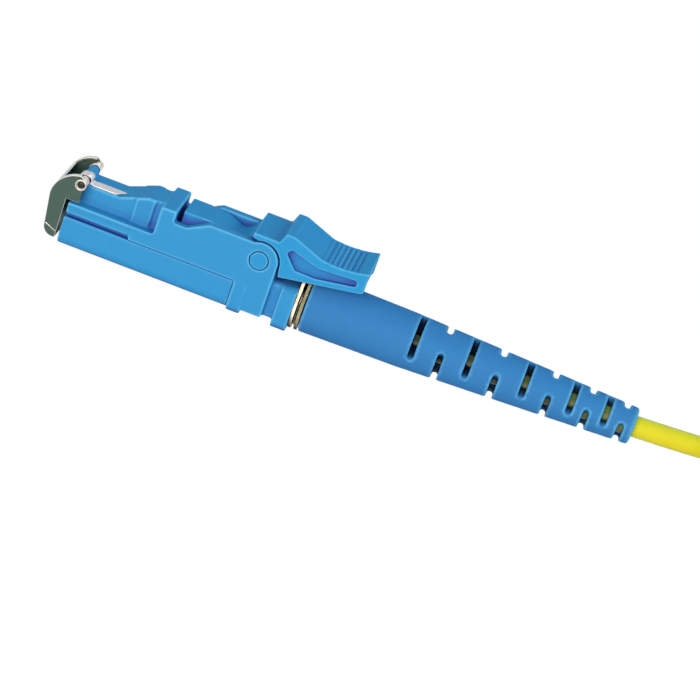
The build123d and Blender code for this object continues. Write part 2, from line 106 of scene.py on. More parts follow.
# %% Cable: its route
cable_diameter = 2.1 * mm
lead_route = [
    (29.025, 0, 2.9),
    (34.2, 0.6, 2.9),
    (39.2, 2.3, 2.7),
    (44.3, 4.0, 2.1),
    (49.6, 5.0, 1.5),
    (55.5, 5.1, 1.4),
]
over_tie_route = [
    (57.5, 4.05, 5.4),
    (63.5, 4.05, 5.35),
    (71.0, 4.05, 5.35),
    (76.5, 4.05, 5.4),
    (79.5, 4.05, 6.0),
    (83.8, 4.05, 6.0),
]
tail_route = [
    (87.3, 4.1, 5.4),
    (93.3, 4.5, 5.4),
    (98.8, 4.9, 5.0),
    (104.8, 3.7, 3.1),
    (111.3, 3.2, 2.9),
]
hank_middle = (72.65, -5.4)
hank_run = 40.2
turn_radii = [10.5, 8.4, 6.3, 6.3, 8.4, 10.5]
low_layer = 1.4
high_layer = 3.5
top_layer = 5.6
layer_turns = 3
last_radius = 9.45
climb_shares = [0, 0.3, 0.65, 0.9, 1, 1, 0.95]
end_points = 6
run_points = 3


def half_turn(side, start_radius, end_radius, height):
    """Points round one end of the hank, from one long side to the other."""
    middle_x = hank_middle[0] + side * hank_run / 2
    middle_y = hank_middle[1] + side * (start_radius - end_radius) / 2
    radius = (start_radius + end_radius) / 2
    points = []
    for step in range(end_points + 1):
        angle = pi * step / end_points
        points.append((middle_x + side * radius * sin(angle), middle_y + side * radius * cos(angle), height))
    return points


def straight(start, end):
    """Points between the two ends of a long side."""
    shares = [step / (run_points + 1) for step in range(1, run_points + 1)]
    return [tuple(a + (b - a) * share for a, b in zip(start, end)) for share in shares]


def hank_route():
    """The turns of the hank, wound inwards in the low layer and outwards in the high one."""
    points = []
    for number, radius in enumerate(turn_radii):
        height = low_layer if number < layer_turns else high_layer
        last = number + 1 == len(turn_radii)
        following = last_radius if last else turn_radii[number + 1]
        next_height = low_layer if number + 1 < layer_turns else high_layer
        right = half_turn(1, radius, radius, height)
        left = half_turn(-1, radius, following, height)
        climb = climb_shares if last else [step / end_points for step in range(end_points + 1)]
        rise = (top_layer if last else next_height) - height
        left = [(x, y, z + rise * share) for share, (x, y, z) in zip(climb, left)]
        if points:
            points += straight(points[-1], right[0])
        points += right + straight(right[-1], left[0]) + left
    return points


cable_route = lead_route + hank_route() + over_tie_route + tail_route
print(len(cable_route), "control points")

# %% Cable: its curve
def smooth_tube(name, points, diameter):
    """A round tube along a third order spline that starts and ends on its end points."""
    curve = bpy.data.curves.new(name, "CURVE")
    curve.dimensions = "3D"
    spline = curve.splines.new("NURBS")
    spline.points.add(len(points) - 1)
    for target, point in zip(spline.points, points):
        target.co = (*(c * mm for c in point), 1)
    spline.order_u = 3
    spline.use_endpoint_u = True
    spline.resolution_u = 6
    curve.bevel_depth = diameter / 2
    curve.bevel_resolution = 5
    curve.use_fill_caps = True
    tube = bpy.data.objects.new(name, curve)
    bpy.context.scene.collection.objects.link(tube)
    return tube


cable = smooth_tube("cable", cable_route, cable_diameter)

# %% [markdown]
# ## Shared shader effects
# Moulded plastic is never perfectly even. One node group makes a fine grain and a slow change of tone, and
# each finish takes its own amounts of both. A second group paints a highlight on the rounded edges: a
# lighter colour where the light catches their small radius. It reads an attribute that the edge rounding
# writes below, so it works from every side.

# %% Node helpers
def node_group(name, inputs, outputs):
    """An empty shader group with named float or colour sockets."""
    group = bpy.data.node_groups.new(name, "ShaderNodeTree")
    for label, default in inputs.items():
        kind = "NodeSocketColor" if isinstance(default, tuple) else "NodeSocketFloat"
        group.interface.new_socket(label, in_out="INPUT", socket_type=kind).default_value = default
    for label, kind in outputs.items():
        group.interface.new_socket(label, in_out="OUTPUT", socket_type=kind)
    return group, group.nodes.new("NodeGroupInput"), group.nodes.new("NodeGroupOutput")


def noise(tree, scale, detail, place):
    """A noise texture on the object's own coordinates."""
    texture = tree.nodes.new("ShaderNodeTexNoise")
    texture.inputs["Detail"].default_value = detail
    if isinstance(scale, bpy.types.NodeSocket):
        tree.links.new(scale, texture.inputs["Scale"])
    else:
        texture.inputs["Scale"].default_value = scale
    tree.links.new(place, texture.inputs["Vector"])
    return texture.outputs["Fac"]


def mix_colour(tree, share, first, second):
    """A blend of two colours, each a socket or a plain value."""
    blend = tree.nodes.new("ShaderNodeMix")
    blend.data_type = "RGBA"
    for socket, value in ((blend.inputs[0], share), (blend.inputs[6], first), (blend.inputs[7], second)):
        if isinstance(value, bpy.types.NodeSocket):
            tree.links.new(value, socket)
        else:
            socket.default_value = value
    return blend.outputs[2]


def spread(tree, value, low, high):
    """A 0 to 1 value spread over a new range."""
    ranged = tree.nodes.new("ShaderNodeMapRange")
    tree.links.new(value, ranged.inputs["Value"])
    for label, number in (("To Min", low), ("To Max", high)):
        if isinstance(number, bpy.types.NodeSocket):
            tree.links.new(number, ranged.inputs[label])
        else:
            ranged.inputs[label].default_value = number
    return ranged.outputs["Result"]


# %% The grain and the painted edge highlight
surface_grain, grain_in, grain_out = node_group(
    "surface grain",
    {"Colour": (0.5, 0.5, 0.5, 1), "Shade": (0.4, 0.4, 0.4, 1), "Mottle": 900.0, "Grain": 9000.0,
     "Roughness": 0.45, "Roughness spread": 0.1},
    {"Colour": "NodeSocketColor", "Roughness": "NodeSocketFloat", "Height": "NodeSocketFloat"},
)
place = surface_grain.nodes.new("ShaderNodeTexCoord").outputs["Object"]
mottle = noise(surface_grain, grain_in.outputs["Mottle"], 3, place)
fine = noise(surface_grain, grain_in.outputs["Grain"], 2, place)
tone_share = spread(surface_grain, mottle, 0, 1)
tone = mix_colour(surface_grain, tone_share, grain_in.outputs["Colour"], grain_in.outputs["Shade"])
rough_top = surface_grain.nodes.new("ShaderNodeMath")
surface_grain.links.new(grain_in.outputs["Roughness"], rough_top.inputs[0])
surface_grain.links.new(grain_in.outputs["Roughness spread"], rough_top.inputs[1])
surface_grain.links.new(tone, grain_out.inputs["Colour"])
rough = spread(surface_grain, fine, grain_in.outputs["Roughness"], rough_top.outputs[0])
surface_grain.links.new(rough, grain_out.inputs["Roughness"])
surface_grain.links.new(fine, grain_out.inputs["Height"])

# Painted highlight: this group lays a lighter edge colour on the rounded edges, where light catches them.
painted_edge_highlight, edge_in, edge_out = node_group(
    "painted edge highlight",
    {"Colour": (0.5, 0.5, 0.5, 1), "Edge highlight colour": (0.8, 0.8, 0.8, 1), "Amount": 0.5},
    {"Colour": "NodeSocketColor", "Edge": "NodeSocketFloat"},
)
rim_reader = painted_edge_highlight.nodes.new("ShaderNodeAttribute")
rim_reader.attribute_name = "rim"
rim_share = painted_edge_highlight.nodes.new("ShaderNodeMath")
rim_share.operation = "MULTIPLY"
painted_edge_highlight.links.new(rim_reader.outputs["Fac"], rim_share.inputs[0])
painted_edge_highlight.links.new(edge_in.outputs["Amount"], rim_share.inputs[1])
edge_highlight_colours = (edge_in.outputs["Colour"], edge_in.outputs["Edge highlight colour"])
edge_highlighted = mix_colour(painted_edge_highlight, rim_share.outputs[0], *edge_highlight_colours)
painted_edge_highlight.links.new(edge_highlighted, edge_out.inputs["Colour"])
painted_edge_highlight.links.new(rim_share.outputs[0], edge_out.inputs["Edge"])

# %% [markdown]
# ## Finishes
# Each finish is one Principled shader fed by the two groups. The three blues differ in tone
# and gloss: the housing and the lever are a satin moulding, the boot is a matt elastomer.
# An Ambient Occlusion node finds the corners and slots and paints shade into them with the recess colour.
# Metals get their look from what they reflect, so their colour stays simple and their
# roughness carries the wear.

# %% Finishes
def finish(name, colour, shade, edge, recess_painted_shade, reach, edge_highlight_amount=0.4, roughness=0.45, roughness_spread=0.1,
           metallic=0.0, mottle=900.0, grain=9000.0, bump=0.15, specular=0.5, open_from=0.35, open_to=0.85,
           painted_top_sheen=None, own_painted_shade=False):
    """A finish with a grain, a slow change of tone, a painted highlight on the edges and painted shade in
    recesses.
    """
    material = bpy.data.materials.new(name)
    material.use_nodes = True
    tree = material.node_tree
    shader = tree.nodes["Principled BSDF"]
    grain_node = tree.nodes.new("ShaderNodeGroup")
    grain_node.node_tree = surface_grain
    edge_highlight_node = tree.nodes.new("ShaderNodeGroup")
    edge_highlight_node.node_tree = painted_edge_highlight
    values = {"Colour": (*colour, 1), "Shade": (*shade, 1), "Mottle": mottle, "Grain": grain,
              "Roughness": roughness, "Roughness spread": roughness_spread}
    for label, value in values.items():
        grain_node.inputs[label].default_value = value
    # The edge colour and its amount paint the highlight on the rounded edges.
    edge_highlight_node.inputs["Edge highlight colour"].default_value = (*edge, 1)
    edge_highlight_node.inputs["Amount"].default_value = edge_highlight_amount
    tree.links.new(grain_node.outputs["Colour"], edge_highlight_node.inputs["Colour"])
    # Painted shade: corners, slots and hollows blend towards the recess colour by how enclosed they are.
    openness = tree.nodes.new("ShaderNodeAmbientOcclusion")
    openness.samples = 8
    openness.only_local = own_painted_shade
    openness.inputs["Distance"].default_value = reach * mm
    open_share = tree.nodes.new("ShaderNodeMapRange")
    open_share.interpolation_type = "SMOOTHSTEP"
    open_share.inputs["From Min"].default_value = open_from
    open_share.inputs["From Max"].default_value = open_to
    tree.links.new(openness.outputs["AO"], open_share.inputs["Value"])
    with_painted_light = mix_colour(tree, open_share.outputs["Result"], (*recess_painted_shade, 1), edge_highlight_node.outputs["Colour"])
    # Painted highlight: faces that look upwards take a lighter sheen colour.
    if painted_top_sheen:
        top_sheen_reader = tree.nodes.new("ShaderNodeAttribute")
        top_sheen_reader.attribute_name = "painted_top_sheen"
        with_painted_light = mix_colour(tree, top_sheen_reader.outputs["Fac"], with_painted_light, (*painted_top_sheen, 1))
    tree.links.new(with_painted_light, shader.inputs["Base Color"])
    tree.links.new(grain_node.outputs["Roughness"], shader.inputs["Roughness"])
    relief = tree.nodes.new("ShaderNodeBump")
    relief.inputs["Strength"].default_value = bump
    relief.inputs["Distance"].default_value = 0.01 * mm
    tree.links.new(grain_node.outputs["Height"], relief.inputs["Height"])
    tree.links.new(relief.outputs["Normal"], shader.inputs["Normal"])
    shader.inputs["Metallic"].default_value = metallic
    shader.inputs["Specular IOR Level"].default_value = specular
    return material


moulded_blue = finish("moulded blue", (0.050, 0.340, 0.66), (0.044, 0.305, 0.61), (0.17, 0.62, 0.90),
                      recess_painted_shade=(0.05, 0.115, 0.44), reach=1.1, edge_highlight_amount=0.75,
                      roughness=0.5, specular=0.06)
lever_blue = finish("lever blue", (0.038, 0.345, 0.67), (0.032, 0.31, 0.62), (0.17, 0.63, 0.92),
                    recess_painted_shade=(0.055, 0.10, 0.43), reach=1.3, open_from=0.45, open_to=0.92, edge_highlight_amount=0.75,
                    roughness=0.48, specular=0.06)
# The boot's slots and hollows take a near black painted shade from its own shape.
boot_blue = finish("boot blue", (0.050, 0.245, 0.55), (0.044, 0.22, 0.50), (0.15, 0.48, 0.80),
                   recess_painted_shade=(0.002, 0.005, 0.02), reach=2.4, open_from=0.4, open_to=0.78, own_painted_shade=True,
                   edge_highlight_amount=0.8, roughness=0.6, bump=0.3, specular=0.08)
jacket_yellow = finish("jacket yellow", (0.90, 0.76, 0.018), (0.84, 0.69, 0.014), (0.95, 0.9, 0.2),
                       recess_painted_shade=(0.45, 0.40, 0.01), reach=1.5, roughness=0.42, mottle=500.0, bump=0.1,
                       specular=0.3, open_from=0.1, open_to=0.6)
# Painted shade: the jacket's yellow made darker and greener for the cable's end inside the boot.
inner_yellow_painted_shade = finish("inner yellow painted shade", (0.27, 0.40, 0.04), (0.22, 0.34, 0.03), (0.5, 0.5, 0.1),
                      recess_painted_shade=(0.004, 0.012, 0.004), reach=2.8, roughness=0.35, open_from=0.2, open_to=0.55)
# Painted light on the shutter: bright edge highlights, a light tan sheen on upward faces, and a dim tan
# recess colour painted into the hollows inside the hood.
sheet_metal = finish("sheet metal", (0.055, 0.112, 0.088), (0.04, 0.082, 0.064), (0.90, 0.84, 0.78),
                     recess_painted_shade=(0.13, 0.105, 0.065), reach=1.2, edge_highlight_amount=0.95, roughness=0.42, metallic=0.35,
                     mottle=2500.0, bump=0.25, open_from=0.1, open_to=0.7, painted_top_sheen=(0.86, 0.80, 0.74))
# Painted shade: the pin is near black, standing in for the dark eye of the hinge.
pin_painted_shade = finish("pin painted shade", (0.04, 0.045, 0.03), (0.03, 0.03, 0.02), (0.3, 0.28, 0.24),
                   recess_painted_shade=(0.01, 0.01, 0.008), reach=0.6, roughness=0.3, metallic=0.9)
bush_metal = finish("bush metal", (0.74, 0.68, 0.60), (0.58, 0.53, 0.46), (0.98, 0.95, 0.9),
                    recess_painted_shade=(0.03, 0.03, 0.02), reach=0.5, edge_highlight_amount=0.8, roughness=0.2, metallic=0.95,
                    mottle=2200.0, open_from=0.15, open_to=0.7)
spring_metal = finish("spring metal", (0.80, 0.75, 0.77), (0.60, 0.58, 0.60), (0.98, 0.96, 0.95),
                      recess_painted_shade=(0.1, 0.1, 0.11), reach=0.5, roughness=0.22, metallic=0.8, mottle=1800.0,
                      open_from=0.1, open_to=0.6)
collar_metal = finish("collar metal", (0.72, 0.69, 0.58), (0.22, 0.21, 0.13), (0.98, 0.96, 0.92),
                      recess_painted_shade=(0.008, 0.01, 0.006), reach=1.2, edge_highlight_amount=0.6, roughness=0.16, metallic=1.0,
                      mottle=1300.0, open_from=0.42, open_to=0.72)
# Painted shade: a darker copy of the collar's metal, for the rear ring of ridges.
collar_painted_shade = finish("collar painted shade", (0.22, 0.22, 0.13), (0.06, 0.07, 0.04), (0.7, 0.66, 0.5),
                      recess_painted_shade=(0.008, 0.01, 0.006), reach=1.2, edge_highlight_amount=0.6, roughness=0.2, metallic=0.9,
                      mottle=1600.0, open_from=0.42, open_to=0.72)
sleeve_metal = finish("sleeve metal", (0.25, 0.21, 0.12), (0.2, 0.17, 0.09), (0.6, 0.5, 0.3),
                      recess_painted_shade=(0.01, 0.01, 0.008), reach=2.0, roughness=0.3, metallic=0.9)
ceramic = finish("ceramic", (0.86, 0.86, 0.83), (0.83, 0.83, 0.80), (0.93, 0.93, 0.9),
                 recess_painted_shade=(0.4, 0.4, 0.38), reach=1.0, roughness=0.12, bump=0.03)
buffer_coat = finish("buffer coat", (0.84, 0.84, 0.82), (0.8, 0.8, 0.78), (0.9, 0.9, 0.9),
                     recess_painted_shade=(0.3, 0.3, 0.3), reach=1.0, roughness=0.35)
tie_plastic = finish("tie plastic", (0.02, 0.02, 0.022), (0.03, 0.03, 0.032), (0.07, 0.07, 0.075),
                     recess_painted_shade=(0.01, 0.01, 0.01), reach=1.0, roughness=0.5)
print(len(bpy.data.materials), "finishes")

# %% [markdown]
# ## Rounded mouldings
# A moulded or turned edge always has a small radius, and that radius is what catches the
# light. The modelled solids come as loose triangles, so a copy is first merged and its flat
# faces joined again. On metal and small pieces the Bevel modifier then rounds each edge that
# is sharper than a limit, by a weight that falls where there is little room beside the edge.
# It also marks its new faces, and from them each vertex on the round gets rim = 1, where the painted edge
# highlight goes. The Weighted Normal modifier lets the large flat faces set the shading.

# %% Clean meshes
def merged_copy(node):
    """A mesh with the node's triangles joined into whole faces."""
    shape = bmesh.new()
    shape.from_mesh(nodes[node].data)
    bmesh.ops.remove_doubles(shape, verts=shape.verts, dist=0.002 * mm)
    bmesh.ops.dissolve_degenerate(shape, edges=shape.edges, dist=0.002 * mm)
    bmesh.ops.dissolve_limit(shape, angle_limit=radians(1.5), verts=shape.verts, edges=shape.edges)
    bmesh.ops.recalc_face_normals(shape, faces=shape.faces)
    mesh = bpy.data.meshes.new(node)
    shape.to_mesh(mesh)
    shape.free()
    return mesh


def as_mesh(piece):
    """Turns a piece with modifiers into a plain mesh."""
    bpy.context.view_layer.update()
    evaluated = piece.evaluated_get(bpy.context.evaluated_depsgraph_get())
    mesh = bpy.data.meshes.new_from_object(evaluated)
    piece.modifiers.clear()
    piece.data = mesh
    return piece


def new_piece(name, mesh, material):
    """An object at the origin with one finish."""
    mesh.materials.clear()
    mesh.materials.append(material)
    piece = bpy.data.objects.new(name, mesh)
    bpy.context.scene.collection.objects.link(piece)
    return piece


# %% Rounding
sharp_angle = radians(35)
bevel_segments = 2
side_share = 0.25
end_share = 0.42
in_line = 0.9
no_limit = 1000 * mm
top_sheen_from = 0.08
top_sheen_span = 0.3


def end_room(edge):
    """How far a rounding may reach along the edges that meet this one at its ends."""
    room = no_limit
    for vertex in edge.verts:
        along = (edge.other_vert(vertex).co - vertex.co).normalized()
        for other in vertex.link_edges:
            away = other.other_vert(vertex).co - vertex.co
            if other is not edge and abs(away.normalized().dot(along)) < in_line:
                room = min(room, end_share * away.length)
    return room


def weigh_edges(mesh, width):
    """Gives each sharp edge a bevel weight, smaller where there is little room beside it."""
    shape = bmesh.new()
    shape.from_mesh(mesh)
    weight = shape.edges.layers.float.new("bevel_weight_edge")
    areas = {face: face.calc_area() for face in shape.faces}
    for edge in shape.edges:
        if len(edge.link_faces) == 2 and edge.calc_face_angle() > sharp_angle:
            side_room = min(areas[face] for face in edge.link_faces) / max(edge.calc_length(), 0.001 * mm)
            edge[weight] = min(1.0, side_share * side_room / width, end_room(edge) / width)
    shape.to_mesh(mesh)
    shape.free()


def mark_rims(mesh):
    """Writes rim = 1 on the vertices that lie in the middle of a rounded edge."""
    touches_flat = [False] * len(mesh.vertices)
    for face in mesh.polygons:
        if face.material_index == 0:
            for corner in face.vertices:
                touches_flat[corner] = True
        face.material_index = 0
    rim = mesh.attributes.new("rim", "FLOAT", "POINT")
    rim.data.foreach_set("value", [0.0 if flat else 1.0 for flat in touches_flat])


def mark_painted_top_sheen(mesh):
    """Writes a painted sheen on the faces that look upwards: 0 on the sides, rising to 1 as a face turns up.
    """
    painted_top_sheen = mesh.attributes.new("painted_top_sheen", "FLOAT", "FACE")
    for face in mesh.polygons:
        painted_top_sheen.data[face.index].value = min(1.0, max(0.0, (face.normal.z - top_sheen_from) / top_sheen_span))


def rounded(name, mesh, material, edge):
    """A piece with rounded edges and even shading."""
    for face in mesh.polygons:
        face.use_smooth = True
    weigh_edges(mesh, edge * mm)
    piece = new_piece(name, mesh, material)
    piece.data.materials.append(material)
    bevel = piece.modifiers.new("edge", "BEVEL")
    bevel.width = edge * mm
    bevel.segments = bevel_segments
    bevel.limit_method = "WEIGHT"
    bevel.miter_outer = "MITER_ARC"
    bevel.use_clamp_overlap = False
    bevel.material = 1
    even = piece.modifiers.new("even shading", "WEIGHTED_NORMAL")
    even.mode = "FACE_AREA"
    even.weight = 100
    even.keep_sharp = False
    as_mesh(piece)
    mark_rims(piece.data)
    piece.data.materials.pop(index=1)
    print(name, len(piece.data.polygons), "faces")
    return piece


def dress(node, material, edge):
    """A rounded copy of a node, in place, that replaces it and rides on its body."""
    piece = rounded(node + "_skin", merged_copy(node), material, edge)
    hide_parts(node)
    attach(piece, body_of[node])
    return piece


# %% [markdown]
# A Bevel needs room on both sides of an edge, which the mouldings with their pockets, steps and slots don't
# leave everywhere. A voxel remesh has no such trouble: it lays an even skin over the solid, and a little
# smoothing rounds every edge alike, as in a mould. The outward curve at each vertex then says where the
# painted edge highlights lie.

# %% An even skin
full_curve = 0.012 * mm
rim_start = 0.25


def mark_outward_curve(mesh):
    """Writes rim from 0 on flats and hollows to 1 where the surface bends outwards fully."""
    totals = [Vector() for vertex in mesh.vertices]
    counts = [0] * len(mesh.vertices)
    for edge in mesh.edges:
        a, b = edge.vertices
        totals[a] += mesh.vertices[b].co
        totals[b] += mesh.vertices[a].co
        counts[a] += 1
        counts[b] += 1
    rim = mesh.attributes.new("rim", "FLOAT", "POINT")
    for k, vertex in enumerate(mesh.vertices):
        outward = (vertex.co - totals[k] / counts[k]).dot(vertex.normal)
        rim.data[k].value = min(1.0, max(0.0, outward / full_curve - rim_start))


def even_skin(mesh, voxel, passes=3):
    """The solid covered anew with small even faces, slightly rounded, with its rims marked."""
    body = bpy.data.objects.new("skin", mesh)
    bpy.context.scene.collection.objects.link(body)
    remesh = body.modifiers.new("skin", "REMESH")
    remesh.mode = "VOXEL"
    remesh.voxel_size = voxel * mm
    soften = body.modifiers.new("soften", "SMOOTH")
    soften.factor = 0.5
    soften.iterations = passes
    as_mesh(body)
    skin = body.data
    bpy.data.objects.remove(body)
    for face in skin.polygons:
        face.use_smooth = True
    mark_outward_curve(skin)
    return skin


# %% Dressing the plugs and the ties
dressed = {}
moulded = {
    "housing_base": (moulded_blue, "housing_blue", 0.1, 3),
    "housing_frame": (moulded_blue, "housing_blue", 0.12, 3),
    "latch_lever": (lever_blue, "lever_blue", 0.085, 2),
}
for prefix in plugs:
    for node, (material, slot_name, voxel, passes) in moulded.items():
        skin = even_skin(merged_copy(prefix + node), voxel, passes)
        piece = new_piece(prefix + node + "_skin", skin, material)
        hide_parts(prefix + node)
        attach(piece, body_of[prefix + node])
        dressed[prefix + node] = piece
        print(piece.name, len(piece.data.polygons), "faces")

plug_finishes = {
    "shutter": (sheet_metal, "shutter_metal", 0.06),
    "shutter_pin": (pin_painted_shade, "pin_steel", 0.05),
    "ferrule": (ceramic, "ceramic_white", 0.05),
    "crimp_body": (collar_metal, "bright_metal", 0.08),
}
for prefix in plugs:
    for node, (material, slot_name, edge) in plug_finishes.items():
        dressed[prefix + node] = dress(prefix + node, material, edge)
    # Painted highlight: the shutter's upward faces get a lighter tan sheen.
    mark_painted_top_sheen(dressed[prefix + "shutter"].data)
for node in ("hank_tie_near", "hank_tie_far"):
    dressed[node] = dress(node, tie_plastic, 0.08)

# %% [markdown]
# ## Boot
# The boot is a soft tapering sleeve round the cable. Slots cut it in pairs, each pair turned a quarter
# against the last, so that it stays flexible all round. Its profile is turned about the cable's axis and the
# slots are cut with a Boolean, with full round ends as the moulding has. The sizes are the imported model's
# own.

# %% Places of the two plugs
axis_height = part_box("boot")[1].z / 2
near_place = Matrix.Translation((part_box("housing_base")[0].x, 0, axis_height))
far_low, far_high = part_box("far_housing_base")
far_origin = Matrix.Translation((far_high.x, (far_low.y + far_high.y) / 2, axis_height))
far_place = far_origin @ Matrix.Rotation(pi, 4, "Z")
places = {"": near_place, "far_": far_place}


def lathe(name, profile, facets=96):
    """A closed ring turned about the X axis from (x, radius) points in millimetres."""
    shape = bmesh.new()
    rings = []
    for step in range(facets):
        angle = tau * step / facets
        ring = [(x * mm, r * cos(angle) * mm, r * sin(angle) * mm) for x, r in profile]
        rings.append([shape.verts.new(point) for point in ring])
    for ring, following in zip(rings, rings[1:] + rings[:1]):
        for k in range(len(profile)):
            after = (k + 1) % len(profile)
            shape.faces.new((ring[k], ring[after], following[after], following[k]))
    bmesh.ops.recalc_face_normals(shape, faces=shape.faces)
    mesh = bpy.data.meshes.new(name)
    shape.to_mesh(mesh)
    shape.free()
    return mesh


def prism(shape, outline, thickness, placing):
    """Adds a prism with this flat outline, in millimetres, to a bmesh."""
    layers = []
    for side in (-1, 1):
        height = side * thickness / 2 * mm
        layer = [placing @ Vector((x * mm, y * mm, height)) for x, y in outline]
        layers.append([shape.verts.new(point) for point in layer])
    shape.faces.new(reversed(layers[0]))
    shape.faces.new(layers[1])
    for k in range(len(outline)):
        after = (k + 1) % len(outline)
        shape.faces.new((layers[0][k], layers[0][after], layers[1][after], layers[1][k]))


def cut(mesh, cutters):
    """The mesh with the cutters' solids taken away."""
    body = bpy.data.objects.new("body", mesh)
    tool = bpy.data.objects.new("tool", cutters)
    for item in (body, tool):
        bpy.context.scene.collection.objects.link(item)
    boolean = body.modifiers.new("cut", "BOOLEAN")
    boolean.object = tool
    boolean.operation = "DIFFERENCE"
    boolean.solver = "EXACT"
    as_mesh(body)
    result = body.data
    for item in (body, tool):
        bpy.data.objects.remove(item)
    return result


# %% Boot: its shape
boot_profile = [
    (24.2, 2.9), (34.4, 2.74), (46.2, 2.27), (56.95, 1.81), (57.1, 1.66),
    (57.1, 1.07), (56.3, 1.07), (56.3, 1.3), (34.4, 1.3), (34.4, 2.05), (24.2, 2.05),
]
slot_stations = [35.1, 37.8, 40.5, 43.3, 46.1, 48.6, 50.8, 52.4, 54.2, 55.9]
slot_width = 0.6
slot_half_angle = radians(64)
slot_roll = radians(44)
boot_start = 24.2
boot_length = 32.9
boot_radii = (2.9, 1.8)
slot_reach = 4.0
slot_thickness = 8.0
round_steps = 8


def slot_outline(strut):
    """One slot seen along its struts: open outwards, with a full round end beside the strut."""
    centre = strut + slot_width / 2
    angles = [pi / 2 + pi * step / round_steps for step in range(round_steps + 1)]
    bend = [(centre + slot_width / 2 * cos(angle), slot_width / 2 * sin(angle)) for angle in angles]
    return [(slot_reach, slot_width / 2), *bend, (slot_reach, -slot_width / 2)]


def boot_cutters():
    """All slots of a boot, as one mesh of separate solids."""
    shape = bmesh.new()
    for number, station in enumerate(slot_stations):
        share = (station - boot_start) / boot_length
        radius = boot_radii[0] + (boot_radii[1] - boot_radii[0]) * share
        strut = radius * cos(slot_half_angle)
        roll = slot_roll + number * pi / 2
        for side in (1, -1):
            across = Vector((0, -sin(roll), cos(roll))) * side
            through = Vector((0, cos(roll), sin(roll))) * side
            along = through.cross(across)
            placing = Matrix((across, along, through)).transposed().to_4x4()
            placing.translation = Vector((station * mm, 0, 0))
            prism(shape, slot_outline(strut), slot_thickness, placing)
    bmesh.ops.recalc_face_normals(shape, faces=shape.faces)
    mesh = bpy.data.meshes.new("slots")
    shape.to_mesh(mesh)
    shape.free()
    return mesh


boot_mesh = cut(lathe("boot", boot_profile), boot_cutters())
print("boot before rounding", len(boot_mesh.polygons), "faces")

# %% Boot: an even skin
boot_voxel = 0.15
boot_skin = even_skin(boot_mesh, boot_voxel)
print("boot skin", len(boot_skin.polygons), "faces")

# %% Boot: both of them
def plug_piece(prefix, name, mesh, material, edge, body_node):
    """A rounded piece of one plug, made in the plug's own frame and put in its place."""
    placed = mesh.copy()
    placed.transform(places[prefix])
    piece = rounded(prefix + name, placed, material, edge)
    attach(piece, body_of[prefix + body_node])
    dressed[prefix + name] = piece
    return piece


for prefix in plugs:
    placed = boot_skin.copy()
    placed.transform(places[prefix])
    boot = new_piece(prefix + "boot_skin", placed, boot_blue)
    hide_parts(prefix + "boot")
    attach(boot, body_of[prefix + "boot"])
    dressed[prefix + "boot"] = boot

# %% [markdown]
# ## Shutter's hinge and leaf spring
# A leaf spring of bright steel lies in the top of the core and keeps the shutter closed. Its front end is
# bent up and over the hinge's knuckle. A short rolled bush turns with each of the shutter's cheeks, and its
# bright ring frames the end of the pin, which is painted near black as the shade in the hinge's eye.

# %% Leaf spring with its bent front end
leaf_middle = -1.1
leaf_width = 1.3
leaf_thickness = 0.12
core_height = 3.83
leaf_end = 4.7
leaf_point = 0.85
hinge_centre = (0.65, 4.1)
curl_radius = 0.6
curl_from = radians(200)
curl_to = radians(-15)
curl_steps = 14
curl_wave = 0.05
leaf_start = 1.5
leaf_lift = 0.01
leaf_tip = 0.15


def leaf_profile():
    """The leaf's middle line from the side, from its curled end to its point."""
    points = []
    for step in range(curl_steps + 1):
        angle = curl_from + (curl_to - curl_from) * step / curl_steps
        radius = curl_radius + curl_wave * sin(3 * angle)
        points.append((hinge_centre[0] + radius * cos(angle), hinge_centre[1] + radius * sin(angle)))
    flat = core_height + leaf_thickness / 2 + leaf_lift
    return points + [(leaf_start, flat), (leaf_end - leaf_point, flat), (leaf_end, flat)]


def leaf_mesh():
    """The leaf as a strip with thickness, cut to a point at its rear end."""
    line = leaf_profile()
    shape = bmesh.new()
    rows = []
    for k, (x, z) in enumerate(line):
        before = Vector(line[max(k - 1, 0)])
        after = Vector(line[min(k + 1, len(line) - 1)])
        along = (after - before).normalized()
        normal = Vector((-along.y, along.x)) * leaf_thickness / 2
        left = leaf_middle + leaf_width / 2
        right = leaf_middle - leaf_width / 2
        if k == len(line) - 1:
            right = left - leaf_tip
        sides = ((1, right), (1, left), (-1, left), (-1, right))
        row = [(x + side * normal.x, y, z + side * normal.y) for side, y in sides]
        rows.append([shape.verts.new(Vector(point) * mm) for point in row])
    for row, following in zip(rows, rows[1:]):
        for k in range(4):
            after = (k + 1) % 4
            shape.faces.new((row[k], row[after], following[after], following[k]))
    shape.faces.new(rows[0])
    shape.faces.new(reversed(rows[-1]))
    bmesh.ops.recalc_face_normals(shape, faces=shape.faces)
    mesh = bpy.data.meshes.new("leaf")
    shape.to_mesh(mesh)
    shape.free()
    return mesh


leaf = leaf_mesh()
for prefix in plugs:
    spring = plug_piece(prefix, "leaf_spring_skin", leaf, spring_metal, 0.03, "leaf_spring")
    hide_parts(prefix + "leaf_spring")

# %% Rolled bushes and the folded line on the cheeks
housing_half = 3.3
knuckle_half = 1.9
bush_outer = 0.55
bush_inner = 0.42
bush_proud = 0.05
fold_line = ((-1.5, -0.62), (-0.36, -1.12))
fold_height = 0.09
fold_depth = 0.08
fold_lift = 0.01
bush_gap = 0.05
bush_facets = 40

